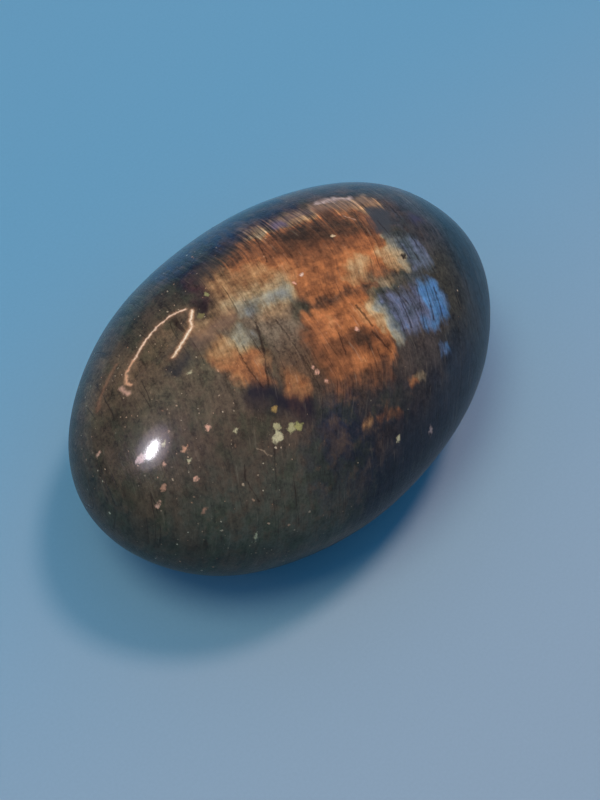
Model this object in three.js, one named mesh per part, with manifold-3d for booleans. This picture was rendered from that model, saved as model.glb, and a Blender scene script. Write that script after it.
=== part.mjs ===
// A polished labradorite palm stone, in millimetres, with +Z up. It is one natural piece, ground to a full egg shape,
// and lies on a small flat on its underside. The long axis runs along X, and the slimmer end points to +X.
// The origin is on the floor, below the middle of the stone.
import * as THREE from "three";
import { mergeVertices } from "three/addons/utils/BufferGeometryUtils.js";
import Module from "manifold-3d";

// Driving dimensions
const LENGTH = 74;
const WIDTH = 51.4;
const DOME = 20.5; // from the widest level up to the top
const KEEL = 18; // from the widest level down to the lowest point, before the flat is ground
const FLAT_DEPTH = 0.5; // how much the resting flat takes off the keel

// How the outline differs from an ellipse
const FULLNESS = 2.045; // 2 is a true ellipsoid, and more is boxier
const TAPER = -0.03; // share of the width gained at +X, and lost at -X
const LEAN = 0.0206; // how far both ends bend towards +Y, as a share of half the width

// Slow waves that hand grinding leaves in the surface
const GRINDING_WAVES = [
  { across: new THREE.Vector3(0.8, 0.5, 0.33), length: 27, height: 0.1, phase: 0.9 },
  { across: new THREE.Vector3(-0.45, 0.85, 0.27), length: 21, height: 0.08, phase: 2.3 },
  { across: new THREE.Vector3(0.3, -0.5, 0.81), length: 16, height: 0.05, phase: 4.1 },
];

// A shallow leaf-shaped hollow on the left shoulder, where soft stone sank below the polish.
// Its tip and tail are places in plan, and its two sides bulge from the line between them.
const HOLLOW_TIP = new THREE.Vector2(-10.3, 9.1);
const HOLLOW_TAIL = new THREE.Vector2(-23.3, 8.3);
const HOLLOW_OUTER_BULGE = 2.2;
const HOLLOW_INNER_BULGE = 3;
const HOLLOW_DEPTH = 0.3;

// How finely the shape is divided
const SPHERE_DETAIL = 18;
const HOLLOW_SIDE_POINTS = 14;

const wasm = await Module();
wasm.setup();

// A closed three.js geometry as a solid that can be cut and joined.
function solidFrom(geometry) {
  const bare = geometry.index ? geometry.toNonIndexed() : geometry.clone();
  bare.deleteAttribute("normal");
  bare.deleteAttribute("uv");
  const merged = mergeVertices(bare);
  return new wasm.Manifold(
    new wasm.Mesh({
      numProp: 3,
      vertProperties: new Float32Array(merged.attributes.position.array),
      triVerts: new Uint32Array(merged.index.array),
    }),
  );
}

function geometryFrom(solid) {
  const mesh = solid.getMesh();
  return new THREE.BufferGeometry()
    .setAttribute("position", new THREE.BufferAttribute(mesh.vertProperties, 3))
    .setIndex(new THREE.BufferAttribute(mesh.triVerts, 1))
    .toNonIndexed();
}

// Height of the grinding waves at a point of the surface.
function wavesAt(point) {
  return GRINDING_WAVES.reduce((sum, wave) => {
    const along = point.dot(wave.across) / wave.length;
    return sum + wave.height * Math.sin(2 * Math.PI * along + wave.phase);
  }, 0);
}

// Moves a point of the unit sphere onto the stone, or onto a surface that lies deeper by inset.
// The stone's widest level is at z = 0 here.
function ontoStone(unit, inset) {
  const bow = (t) => Math.sign(t) * Math.abs(t) ** (2 / FULLNESS);
  const x = bow(unit.x);
  const y = bow(unit.y) * (1 + TAPER * x) + LEAN * x * x;
  const z = bow(unit.z);
  const halfHeight = z > 0 ? DOME : KEEL;
  const point = new THREE.Vector3(
    x * (LENGTH / 2 - inset),
    y * (WIDTH / 2 - inset),
    z * (halfHeight - inset),
  );
  return point.addScaledVector(unit, wavesAt(point));
}

function stoneSolid(inset) {
  const sphere = new THREE.IcosahedronGeometry(1, SPHERE_DETAIL);
  const places = sphere.attributes.position;
  const point = new THREE.Vector3();
  for (let i = 0; i < places.count; i++) {
    point.fromBufferAttribute(places, i).normalize();
    places.setXYZ(i, ...ontoStone(point, inset));
  }
  return solidFrom(sphere);
}

// A leaf-shaped plug that stands through the top of the stone.
function hollowPlug() {
  const middle = HOLLOW_TIP.clone().add(HOLLOW_TAIL).multiplyScalar(0.5);
  const along = HOLLOW_TAIL.clone().sub(HOLLOW_TIP).normalize();
  const outward = new THREE.Vector2(along.y, -along.x);
  // A quadratic curve passes halfway between its control point and the line between its ends.
  const outer = middle.clone().addScaledVector(outward, 2 * HOLLOW_OUTER_BULGE);
  const inner = middle.clone().addScaledVector(outward, -2 * HOLLOW_INNER_BULGE);
  const leaf = new THREE.Shape()
    .moveTo(HOLLOW_TIP.x, HOLLOW_TIP.y)
    .quadraticCurveTo(outer.x, outer.y, HOLLOW_TAIL.x, HOLLOW_TAIL.y)
    .quadraticCurveTo(inner.x, inner.y, HOLLOW_TIP.x, HOLLOW_TIP.y);
  const plug = new THREE.ExtrudeGeometry(leaf, {
    depth: 2 * DOME,
    bevelEnabled: false,
    curveSegments: HOLLOW_SIDE_POINTS,
  });
  return solidFrom(plug);
}

// The floor that grinds the resting flat, as a block below it.
function flatCutter() {
  const block = new THREE.BoxGeometry(LENGTH, WIDTH, KEEL);
  block.translate(0, 0, -KEEL / 2 - (KEEL - FLAT_DEPTH));
  return solidFrom(block);
}

function labradoriteGeometry() {
  const hollow = hollowPlug().subtract(stoneSolid(HOLLOW_DEPTH));
  const stone = stoneSolid(0).subtract(hollow).subtract(flatCutter());
  const geometry = geometryFrom(stone);
  geometry.computeBoundingBox();
  const { min, max } = geometry.boundingBox;
  geometry.translate(-(min.x + max.x) / 2, -(min.y + max.y) / 2, -min.z);
  geometry.computeVertexNormals();
  return geometry;
}

const labradorite = new THREE.Mesh(
  labradoriteGeometry(),
  new THREE.MeshStandardMaterial({ color: 0x45403a, roughness: 0.15, metalness: 0 }),
);
labradorite.name = "labradorite";

const stone = new THREE.Group();
stone.add(labradorite);

export default stone;
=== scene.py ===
import math
from collections import namedtuple

import bpy
from mathutils import Matrix, Vector


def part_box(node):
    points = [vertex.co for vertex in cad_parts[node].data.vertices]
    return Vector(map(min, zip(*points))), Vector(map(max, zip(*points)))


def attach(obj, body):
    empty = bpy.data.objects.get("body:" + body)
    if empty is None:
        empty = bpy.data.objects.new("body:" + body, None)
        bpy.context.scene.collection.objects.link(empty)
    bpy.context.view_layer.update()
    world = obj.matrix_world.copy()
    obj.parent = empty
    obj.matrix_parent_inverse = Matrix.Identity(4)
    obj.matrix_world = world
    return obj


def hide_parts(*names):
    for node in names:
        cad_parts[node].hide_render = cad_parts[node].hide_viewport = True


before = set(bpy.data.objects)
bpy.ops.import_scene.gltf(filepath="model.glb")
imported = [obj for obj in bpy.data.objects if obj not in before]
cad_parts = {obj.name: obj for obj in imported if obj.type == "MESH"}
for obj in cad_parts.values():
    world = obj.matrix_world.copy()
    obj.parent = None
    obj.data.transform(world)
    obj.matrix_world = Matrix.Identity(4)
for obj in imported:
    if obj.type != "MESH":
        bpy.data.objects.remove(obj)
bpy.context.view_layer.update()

# A polished labradorite palm stone, laid out as an add-on and run as a script.
# Every length is in metres unless a name ends in _MM.
# The stone lies along X, and its widest level is WIDEST_LEVEL above the floor.
bl_info = {
    "name": "Labradorite Palm Stone",
    "version": (1, 0, 0),
    "blender": (4, 5, 0),
    "location": "View3D > Sidebar > Stone",
    "description": "Makes a polished labradorite palm stone and a plain stage for it",
    "category": "Add Mesh",
}

NODE = "labradorite"
MM = 0.001
X_AXIS = (1, 0, 0)
Y_AXIS = (0, 1, 0)
Z_AXIS = (0, 0, 1)

# The stone's driving dimensions
LENGTH = 0.074
WIDTH = 0.0514
DOME = 0.0205
KEEL = 0.018
FLAT_DEPTH = 0.0005
FLAT_EDGE = 0.0003  # rounding where the resting flat meets the curve
WIDEST_LEVEL = KEEL - FLAT_DEPTH

# How the outline differs from an ellipse
FULLNESS = 2.045  # 2 is a true ellipsoid, and more is boxier
TAPER = -0.03  # share of the width gained at +X, and lost at -X
LEAN = 0.0206  # how far both ends bend towards +Y, as a share of half the width

# The surface is made from a cube with so many points along each edge, which gives 196,608 triangles
POINTS_PER_EDGE = 129

# Slow waves that hand grinding leaves: direction, wavelength, height and phase
GRINDING_WAVES = (
    ((0.8, 0.5, 0.33), 0.027, 0.0001, 0.9),
    ((-0.45, 0.85, 0.27), 0.021, 0.00008, 2.3),
    ((0.3, -0.5, 0.81), 0.016, 0.00005, 4.1),
)

# The leaf-shaped hollow on the left shoulder, from its tip to its tail in plan
HOLLOW_TIP = Vector((-0.0103, 0.0091))
HOLLOW_TAIL = Vector((-0.0233, 0.0083))
HOLLOW_OUTER_BULGE = 0.0022
HOLLOW_INNER_BULGE = 0.003
HOLLOW_DEPTH = 0.0003
HOLLOW_SLOPE = 0.002

# The twin planes: the turn of their normal round Z, and its dip below the horizon
TWIN_TURN = math.radians(-21)
TWIN_DIP = math.radians(18)
ACROSS = Vector((
    math.cos(TWIN_DIP) * math.cos(TWIN_TURN),
    math.cos(TWIN_DIP) * math.sin(TWIN_TURN),
    -math.sin(TWIN_DIP),
))
ALONG = ACROSS.cross(Vector(Z_AXIS)).normalized()
UP = ALONG.cross(ACROSS)

# Marks of the stone. Places and sizes are in millimetres, across and along the twin planes, from the
# middle of the widest level. A mark's half sizes are turned by turn degrees, and its corners are rounded
# by corner times the smaller one. It fades over soft to both sides of its edge.
Flash = namedtuple(
    "Flash", "across along half_across half_along hue strength turn soft corner", defaults=(0.0, 1.2, 0.85)
)
Tint = namedtuple(
    "Tint", "across along half_across half_along colour strength turn soft corner", defaults=(0.0, 1.2, 0.85)
)
Stroke = namedtuple("Stroke", "points half_width soft colour strength")
Fleck = namedtuple("Fleck", "across along radius colour")

# Marks fade less sharply along the twin planes than across them
ALONG_SHARPNESS = 0.55

# Flash colours by hue, from the longest wavelength that the lamellae send back to the shortest
FLASH_RAMP = (
    (0.00, (0.050, 0.026, 0.013)),
    (0.10, (0.105, 0.046, 0.020)),
    (0.20, (0.185, 0.070, 0.027)),
    (0.28, (0.275, 0.104, 0.038)),
    (0.36, (0.430, 0.160, 0.053)),
    (0.44, (0.420, 0.225, 0.092)),
    (0.52, (0.490, 0.350, 0.180)),
    (0.60, (0.365, 0.340, 0.235)),
    (0.68, (0.200, 0.225, 0.215)),
    (0.76, (0.088, 0.120, 0.136)),
    (0.84, (0.130, 0.156, 0.245)),
    (0.92, (0.078, 0.205, 0.390)),
    (1.00, (0.034, 0.048, 0.160)),
)

# Flashes that the top of the stone shows, each laid over those before it
TOP_FLASHES = (
    # Band across the upper part
    Flash(3.0, -12.6, 8.6, 1.8, 0.47, 0.42, turn=4, soft=1.6),
    Flash(-9.4, -6.5, 4.8, 2.8, 0.415, 0.70, turn=-14, soft=1.9),
    Flash(-12.6, -4.6, 2.2, 1.8, 0.46, 0.55, turn=14, soft=1.4),
    Flash(-6.6, -9.9, 3.8, 1.5, 0.24, 0.72, turn=-16, soft=1.6),
    Flash(-6.8, -5.2, 2.4, 2.0, 0.42, 0.82, turn=14, soft=1.6),
    Flash(2.4, -7.2, 8.2, 2.6, 0.165, 0.90, turn=4, soft=1.6),
    Flash(9.4, -10.2, 1.6, 2.8, 0.34, 0.42, turn=-6, soft=1.2),
    Flash(12.8, -12.6, 1.8, 1.5, 0.47, 0.85, turn=-10, soft=0.9),
    Flash(1.0, -9.0, 3.2, 1.4, -0.02, 0.92, turn=6, soft=1.3),
    Flash(6.0, -11.4, 1.0, 2.2, 0.05, 0.70, soft=0.8),
    Flash(5.4, -7.6, 2.6, 0.9, 0.06, 0.75, turn=6, soft=1.0),
    Flash(-2.4, -6.6, 2.4, 1.0, 0.16, 0.80, soft=1.3),
    Flash(2.4, -2.6, 7.6, 2.9, 0.305, 0.97, soft=1.5),
    Flash(-3.4, -3.0, 2.0, 1.6, 0.33, 0.85, soft=1.4),
    Flash(0.2, 1.2, 4.2, 1.8, 0.31, 0.95, soft=0.9),
    Flash(8.0, -4.2, 1.5, 1.6, 0.32, 0.90, turn=-14, soft=0.9),
    Flash(-4.6, -3.8, 1.5, 2.6, 0.385, 0.75, turn=10, soft=1.5),
    Flash(-4.4, -12.9, 1.6, 0.6, 0.58, 0.34, turn=-14, soft=0.8),
    # Pale arc that closes the band below, and cream at its right end
    Flash(-9.4, -2.5, 4.4, 0.9, 0.50, 0.80, turn=-14, soft=1.2),
    Flash(-12.4, -1.9, 1.8, 0.8, 0.56, 0.78, turn=10, soft=0.9),
    Flash(-7.9, -1.1, 2.6, 1.1, 0.615, 0.88, turn=-6, soft=1.0),
    Flash(-7.9, -0.2, 1.4, 0.6, 0.68, 0.80, soft=0.7),
    Flash(-12.0, -0.5, 1.6, 0.7, 0.70, 0.80, turn=8, soft=0.7),
    Flash(-16.2, -0.6, 2.8, 1.2, 0.44, 0.62, turn=-10, soft=1.2),
    Flash(-9.0, 1.2, 2.0, 0.9, 0.47, 0.50, turn=6, soft=0.9),
    Flash(5.0, -1.4, 2.2, 1.4, 0.49, 0.90, turn=-24, soft=1.0),
    Flash(3.6, 0.6, 1.8, 1.1, 0.46, 0.80, turn=-24, soft=0.9),
    Flash(10.2, -1.3, 1.5, 2.3, 0.485, 1.00, turn=-6, soft=0.6, corner=0.6),
    Flash(11.6, -1.6, 0.9, 2.2, 0.57, 0.92, turn=-12, soft=0.6),
    Flash(12.2, -4.2, 1.4, 1.2, 0.66, 0.72, turn=-10, soft=0.8),
    Flash(14.8, -1.8, 2.0, 3.0, 0.79, 0.85, turn=-10, soft=0.7, corner=0.6),
    # Orange block below it
    Flash(6.4, 2.4, 2.6, 0.8, 0.50, 0.30, turn=-6, soft=0.8),
    Flash(1.0, 2.8, 5.6, 0.25, 0.12, 0.50, turn=-3, soft=0.40),
    Flash(-0.7, 8.6, 5.1, 5.2, 0.29, 0.97, turn=-6, soft=0.5, corner=0.3),
    Flash(-0.2, 6.2, 4.0, 2.5, 0.365, 1.00, turn=-4, soft=0.7, corner=0.4),
    Flash(2.3, 6.4, 1.2, 1.6, 0.38, 0.95, turn=-8, soft=0.7),
    Flash(-5.9, 9.6, 1.0, 4.4, 0.16, 0.80, turn=-8, soft=0.9),
    Flash(-2.6, 9.6, 1.8, 0.9, 0.20, 0.80, soft=0.9),
    Flash(1.6, 9.7, 3.6, 0.8, 0.13, 0.95, turn=-6, soft=0.8),
    Flash(0.6, 9.2, 1.0, 0.7, 0.06, 0.75, soft=0.7),
    Flash(2.0, 12.1, 3.0, 1.2, 0.345, 1.00, turn=-8, soft=0.8),
    Flash(-0.4, 14.5, 4.2, 0.9, 0.19, 0.62, turn=-4, soft=1.0),
    Flash(4.4, 7.0, 0.9, 2.7, 0.47, 0.95, turn=-12, soft=0.5, corner=0.5),
    Flash(6.0, 8.2, 0.8, 3.0, 0.61, 0.90, turn=-10, soft=0.6),
    # Blue patches on the right
    Flash(8.7, 7.0, 2.3, 2.7, 0.83, 0.84, turn=-6, soft=0.9, corner=0.6),
    Flash(12.2, 6.8, 1.4, 3.2, 0.85, 0.75, turn=-6, soft=0.8),
    Flash(14.7, 6.0, 2.2, 2.8, 0.915, 0.98, turn=-4, soft=0.6, corner=0.6),
    Flash(12.4, 9.0, 1.3, 1.1, 0.90, 0.85, soft=0.5),
    Flash(14.1, 12.7, 0.9, 0.5, 0.88, 0.60, turn=-14, soft=0.35),
    # Gold patch on the left, with amber right of it
    Flash(-15.7, 5.9, 2.5, 3.6, 0.375, 0.72, turn=-30, soft=0.8, corner=0.7),
    Flash(-17.0, 3.7, 1.4, 1.3, 0.45, 0.86, turn=-30, soft=0.8),
    Flash(-14.4, 3.2, 1.4, 1.7, 0.62, 0.74, turn=-14, soft=0.8),
    Flash(-14.1, 9.4, 1.0, 1.7, 0.29, 0.80, turn=-14, soft=0.7),
    Flash(-10.0, 13.0, 1.3, 2.1, 0.39, 0.82, turn=-4, soft=0.9),
    # Small ones low on the right
    Flash(7.3, 16.4, 0.8, 0.4, 0.36, 0.62, turn=-20, soft=0.4),
    Flash(8.6, 15.7, 0.7, 0.4, 0.54, 0.55, turn=-20, soft=0.4),
    Flash(2.4, 19.1, 2.2, 0.25, 0.30, 0.45, turn=-6, soft=0.4),
    Flash(-1.3, 19.5, 0.8, 0.4, 0.42, 0.65, soft=0.4),
)

# Fainter flashes that show from the underside and the flanks
UNDER_FLASHES = (
    Flash(-12.0, -4.0, 6.5, 6.0, 0.78, 0.42, soft=2.4),
    Flash(-8.0, -2.0, 2.5, 3.0, 0.90, 0.34, soft=1.6),
    Flash(6.0, 5.0, 8.0, 5.5, 0.24, 0.46, soft=2.4),
    Flash(8.0, 3.0, 3.0, 2.5, 0.40, 0.42, soft=1.6),
    Flash(20.0, -2.0, 4.5, 6.0, 0.88, 0.40, soft=2.2),
    Flash(-22.0, 8.0, 3.5, 4.0, 0.36, 0.38, soft=2.0),
)

# Colours of the body between the flashes, on the top of the stone: its own colours, and some painted light,
# shade and reflection, each marked below
BODY_TINTS_AND_PAINTED_LIGHT = (
    # Lighter olive and brown on the left: partly the stone's warmer tone, partly painted light from the left
    Tint(-24.0, 5.0, 9.0, 9.0, (0.120, 0.100, 0.058), 0.90, soft=5.0),
    Tint(-26.0, -1.8, 7.0, 3.2, (0.160, 0.100, 0.054), 0.95, turn=-24, soft=2.4),
    Tint(-20.0, 14.0, 7.0, 5.0, (0.082, 0.054, 0.034), 0.75, soft=4.0),
    Tint(-22.0, -10.0, 6.0, 3.0, (0.038, 0.038, 0.022), 0.85, turn=-40, soft=2.6),
    Tint(-16.0, 24.0, 13.0, 5.0, (0.078, 0.080, 0.058), 0.92, turn=6, soft=3.0),
    Tint(-32.0, 10.0, 2.6, 9.0, (0.066, 0.046, 0.026), 0.80, turn=10, soft=2.0),
    Tint(-9.4, 4.2, 3.6, 5.0, (0.220, 0.168, 0.110), 0.95, turn=4, soft=1.6),
    Tint(-8.6, 10.6, 3.4, 3.4, (0.138, 0.078, 0.041), 0.92, turn=-8, soft=1.6),
    Tint(-12.4, 5.6, 0.7, 3.4, (0.070, 0.044, 0.024), 0.80, turn=-14, soft=0.7),
    Tint(-5.6, 2.2, 1.6, 1.0, (0.070, 0.050, 0.030), 0.85, soft=0.9),
    Tint(-3.0, 16.2, 9.0, 1.6, (0.060, 0.048, 0.038), 0.80, soft=1.8),
    # Dark blue-black on the lower right: painted shade, where the stone turns away from the lamps
    Tint(13.0, 21.0, 17.0, 7.0, (0.010, 0.018, 0.030), 0.94, turn=-16, soft=4.0),
    Tint(16.0, 15.0, 6.0, 3.4, (0.014, 0.024, 0.038), 0.85, turn=-16, soft=2.0),
    Tint(-6.0, 21.5, 4.6, 3.6, (0.022, 0.026, 0.038), 0.80, turn=-10, soft=2.2),
    # Dark blue-black down the right flank: painted shade, with a painted reflection of the shaded floor
    Tint(28.0, 2.0, 6.4, 22.0, (0.009, 0.026, 0.040), 0.97, soft=4.0),
    Tint(9.6, 12.4, 4.0, 3.2, (0.066, 0.054, 0.046), 0.85, soft=1.6),
    # Deep blue along the upper-left rim and on towards the left: a painted reflection of the blue
    # surroundings
    Tint(-7.0, -17.4, 11.0, 3.8, (0.010, 0.026, 0.066), 0.96, turn=-14, soft=1.3),
    Tint(-13.6, -13.6, 4.0, 1.8, (0.018, 0.026, 0.048), 0.94, turn=-30, soft=1.1),
    Tint(-16.0, -11.0, 1.2, 2.8, (0.014, 0.016, 0.028), 0.90, turn=4, soft=1.0),
    # Dark band along the far rim, where the stone turns away: painted shade
    Tint(9.0, -18.4, 12.0, 1.6, (0.030, 0.026, 0.036), 0.80, turn=4, soft=1.5),
    Tint(16.6, -7.8, 5.6, 5.8, (0.052, 0.056, 0.062), 0.92, turn=-22, soft=1.6),
    Tint(17.4, -5.6, 3.0, 1.4, (0.046, 0.040, 0.034), 0.75, turn=-14, soft=1.2),
    Tint(8.4, 2.2, 3.0, 1.2, (0.105, 0.098, 0.072), 0.90, turn=4, soft=0.9),
    Tint(12.6, 2.2, 1.6, 1.2, (0.062, 0.074, 0.084), 0.85, turn=4, soft=0.9),
    Tint(-5.6, 18.4, 2.6, 2.0, (0.020, 0.024, 0.044), 0.85, soft=1.6),
    Tint(-16.0, -7.6, 0.9, 3.6, (0.060, 0.026, 0.030), 0.90, turn=10, soft=0.8),
)

# Colours laid over the flashes: hazes, dark spots, and a painted sheen along the upper edge, a pale line over
# a broader pale band, that stands for a reflection
VEILS_AND_PAINTED_SHEEN = (
    Tint(12.6, -8.6, 1.8, 3.4, (0.056, 0.062, 0.068), 0.85, turn=22, soft=0.8),
    Tint(-12.2, -11.0, 3.6, 0.9, (0.050, 0.044, 0.036), 0.75, turn=-30, soft=1.0),
    Tint(1.0, -14.0, 3.6, 0.7, (0.130, 0.098, 0.104), 0.70, turn=-6, soft=0.8),
    # The pale band and the pale line over it: a painted sheen, the reflection of a bright surrounding along
    # the upper edge
    Tint(9.4, -14.0, 4.6, 0.9, (0.270, 0.190, 0.135), 0.75, turn=6, soft=0.8),
    Tint(8.8, -15.5, 3.0, 0.25, (0.640, 0.520, 0.470), 0.95, turn=8, soft=0.35),
    Tint(-12.6, 13.2, 5.0, 1.2, (0.018, 0.014, 0.022), 0.95, turn=36, soft=0.8),
    Tint(-17.0, -3.8, 0.8, 1.2, (0.022, 0.012, 0.012), 0.85, turn=10, soft=0.6),
    Tint(-22.0, 2.4, 1.5, 0.9, (0.014, 0.018, 0.028), 0.75, turn=-30, soft=0.9),
    Tint(-1.2, -13.7, 1.1, 0.6, (0.180, 0.150, 0.250), 0.70, turn=-14, soft=0.6),
    Tint(19.0, -8.0, 0.8, 0.8, (0.060, 0.056, 0.130), 0.60, soft=0.9),
    Tint(-16.6, 0.2, 3.4, 0.9, (0.180, 0.118, 0.090), 0.65, turn=-12, soft=0.9),
)

# Cracks that stand out, as points across and along the twin planes
CRACK_COLOUR = (0.020, 0.010, 0.006)
CRACKS = (
    ((-15.3, 3.4), (-15.2, 6.4), (-14.8, 8.6), (-14.1, 10.9)),
    ((-11.7, 1.9), (-11.9, 3.6), (-12.3, 6.0), (-12.9, 8.8), (-13.4, 11.2)),
    ((-9.3, 3.0), (-8.8, 5.6), (-8.3, 8.1), (-7.8, 10.4), (-7.1, 13.6)),
    ((1.7, 4.9), (2.9, 8.3)),
    ((2.6, 9.1), (4.5, 12.3)),
    ((-2.2, 7.9), (-2.3, 11.2)),
    ((7.2, 5.8), (7.6, 10.0)),
    ((8.8, 4.6), (8.9, 9.6)),
    ((10.3, 4.4), (10.6, 8.4)),
    ((12.4, 3.8), (11.6, 7.2), (11.2, 9.8)),
    ((13.9, 4.1), (13.3, 8.9)),
    ((15.3, 4.4), (15.1, 8.4)),
    ((12.0, -8.4), (12.4, -5.3)),
    ((13.0, -5.0), (13.5, -0.6)),
    ((14.3, -4.7), (14.9, 0.2)),
    ((15.8, -4.4), (16.3, -0.6)),
    ((9.9, -13.9), (9.7, -8.2)),
    ((-5.1, -12.5), (-6.1, -6.9)),
    ((-14.6, 17.9), (-15.0, 19.7), (-15.3, 22.6)),
    ((-18.8, 18.6), (-18.9, 20.2), (-17.7, 22.9)),
)

# The forked fissure: its bright rim, drawn as copper with painted highlights, with the brightest part first,
# the hook at its end, and the beads of its other rim. Then a copper streak near the edge of the stone, and
# two scratches.
FISSURE_TOP = ((-18.4, -5.2), (-20.2, -5.6), (-22.2, -5.1), (-24.0, -4.2), (-26.2, -2.4))
FISSURE = (*FISSURE_TOP, (-27.6, -1.2), (-28.1, 0.2), (-27.8, 1.0))
FISSURE_HOOK = ((-28.8, 0.4), (-28.7, 1.3), (-28.4, 2.0))
FISSURE_BEADS = ((-17.9, -4.3), (-18.7, -2.9), (-18.9, -1.9), (-20.4, -0.6), (-22.5, 1.0))
RIM_STREAK = ((-27.9, -3.7), (-29.0, -2.8), (-30.1, -1.7), (-31.2, -0.4), (-31.7, 0.8))
LOWER_SCRATCH = ((-16.9, 17.5), (-15.2, 19.2))
UPPER_SCRATCH = ((7.8, -10.9), (9.0, -9.6))

# What is drawn along these lines, each stroke over those before it. Along the fissure the copper strokes are
# partly the fissure's own colour and partly painted highlight where its rims catch the light, and the palest
# strokes are painted highlights
STROKES_AND_PAINTED_HIGHLIGHTS = (
    Stroke(FISSURE, 0.15, 0.90, (0.36, 0.19, 0.11), 0.60),
    Stroke(FISSURE, 0.14, 0.20, (0.92, 0.50, 0.28), 0.92),
    # The brightest part of the rim: a painted highlight
    Stroke(FISSURE_TOP, 0.07, 0.14, (1.0, 0.82, 0.62), 1.00),
    Stroke(FISSURE_HOOK, 0.18, 0.30, (0.80, 0.46, 0.32), 0.90),
    Stroke(FISSURE_BEADS, 0.18, 0.70, (0.42, 0.19, 0.10), 0.70),
    Stroke(FISSURE_BEADS, 0.20, 0.24, (0.94, 0.58, 0.32), 0.95),
    # Pale cores of the beads: painted highlights
    Stroke(FISSURE_BEADS, 0.08, 0.12, (1.0, 0.92, 0.72), 0.95),
    Stroke(RIM_STREAK, 0.06, 0.40, (0.42, 0.19, 0.10), 0.70),
    Stroke(LOWER_SCRATCH, 0.03, 0.10, (0.45, 0.32, 0.20), 0.80),
    Stroke(UPPER_SCRATCH, 0.06, 0.12, (0.62, 0.42, 0.30), 0.80),
)

# Mineral grains: pale ones that catch the light, and two dark ones, and one pink spot that is a painted
# highlight
CREAM = (0.60, 0.54, 0.32)
LIME = (0.38, 0.36, 0.13)
PINK = (0.80, 0.44, 0.30)
FLECKS_AND_PAINTED_HIGHLIGHT = (
    Fleck(-13.8, 16.2, 0.46, (0.46, 0.42, 0.22)),
    Fleck(-14.0, 17.4, 0.66, CREAM),
    Fleck(-12.0, 17.0, 0.50, (0.44, 0.41, 0.20)),
    Fleck(-11.0, 17.2, 0.45, LIME),
    Fleck(-13.6, 14.1, 0.36, (0.38, 0.25, 0.08)),
    Fleck(-15.2, -5.8, 0.34, (0.33, 0.32, 0.13)),
    Fleck(-17.4, -2.8, 0.46, (0.20, 0.17, 0.07)),
    Fleck(-3.1, -2.5, 0.24, (0.85, 0.64, 0.50)),
    Fleck(-4.6, -1.6, 0.24, PINK),
    Fleck(4.2, -7.6, 0.26, (0.75, 0.60, 0.36)),
    Fleck(0.5, 8.2, 0.30, PINK),
    Fleck(-18.8, 14.4, 0.24, CREAM),
    Fleck(-21.8, 12.4, 0.30, PINK),
    Fleck(-25.0, 13.3, 0.36, (0.66, 0.34, 0.20)),
    Fleck(-28.2, 15.8, 0.30, (0.50, 0.26, 0.16)),
    # Pink spot beside the highlight: a painted highlight, not a grain
    Fleck(-29.8, 11.0, 0.50, (0.72, 0.50, 0.46)),
    Fleck(-6.8, 11.9, 0.22, PINK),
    Fleck(-5.9, 13.4, 0.18, PINK),
    Fleck(10.0, 21.0, 0.32, (0.42, 0.30, 0.26)),
    Fleck(-27.0, 11.2, 0.20, CREAM),
    Fleck(-27.6, 13.4, 0.18, PINK),
    Fleck(-29.0, 17.0, 0.22, PINK),
    Fleck(-24.6, 17.2, 0.18, PINK),
    Fleck(-24.2, 20.6, 0.22, (0.42, 0.22, 0.14)),
    Fleck(-28.2, 20.0, 0.18, (0.42, 0.22, 0.14)),
    Fleck(-33.4, 6.4, 0.22, PINK),
    Fleck(-24.8, 14.8, 0.18, CREAM),
    Fleck(-18.0, 25.6, 0.14, CREAM),
    Fleck(3.6, 21.6, 0.22, CREAM),
    Fleck(-21.6, 4.4, 0.18, CREAM),
    Fleck(-7.2, 11.2, 0.20, PINK),
    Fleck(12.5, -1.1, 0.40, CRACK_COLOUR),
    Fleck(13.0, -1.3, 0.20, CRACK_COLOUR),
)


# The Mix node's two inputs and its output, by the kind of value that it mixes
MIX_SOCKETS = {"FLOAT": (2, 3, 0), "VECTOR": (4, 5, 1), "RGBA": (6, 7, 2)}

# The darkest that noise makes a colour
DARKEST_SHADE = 0.12


class Wire:
    """An output socket of a node tree, on which Python arithmetic adds Math nodes."""

    def __init__(self, graph, socket):
        self.graph = graph
        self.socket = socket

    def maths(self, operation, *others):
        return self.graph.node("ShaderNodeMath", {"operation": operation}, (self, *others))

    def __add__(self, other):
        return self.maths("ADD", other)

    __radd__ = __add__

    def __sub__(self, other):
        return self.maths("SUBTRACT", other)

    def __rsub__(self, other):
        return self.graph.node("ShaderNodeMath", {"operation": "SUBTRACT"}, (other, self))

    def __mul__(self, other):
        return self.maths("MULTIPLY", other)

    __rmul__ = __mul__

    def __neg__(self):
        return self * -1

    def __truediv__(self, other):
        return self.maths("DIVIDE", other)

    def __pow__(self, other):
        return self.maths("POWER", other)

    def __abs__(self):
        return self.maths("ABSOLUTE")

    def vector(self, operation, *others, output=0):
        """A Vector Math node on this vector and others."""
        return self.graph.node("ShaderNodeVectorMath", {"operation": operation}, (self, *others), output)

    def scaled(self, factor):
        return self.graph.stretched(self, factor)

    def clamped(self):
        return self.maths("MINIMUM", 1.0).maths("MAXIMUM", 0.0)

    def dot(self, direction):
        """How far a vector reaches along a direction."""
        return self.vector("DOT_PRODUCT", direction, output="Value")

    def parts(self):
        """The three parts of a vector."""
        return [self.dot(axis) for axis in (X_AXIS, Y_AXIS, Z_AXIS)]

    def sibling(self, name):
        """Another output of the same node."""
        return Wire(self.graph, self.socket.node.outputs[name])

    def step(self, low, high):
        """0 below low and 1 above high, with a smooth rise between them."""
        return self.graph.node(
            "ShaderNodeMapRange",
            {"interpolation_type": "SMOOTHSTEP"},
            {"Value": self, "From Min": low, "From Max": high},
        )

    def between(self, low, high):
        """The amount low where the wire is 0, and high where it is 1."""
        return self * (high - low) + low


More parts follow.
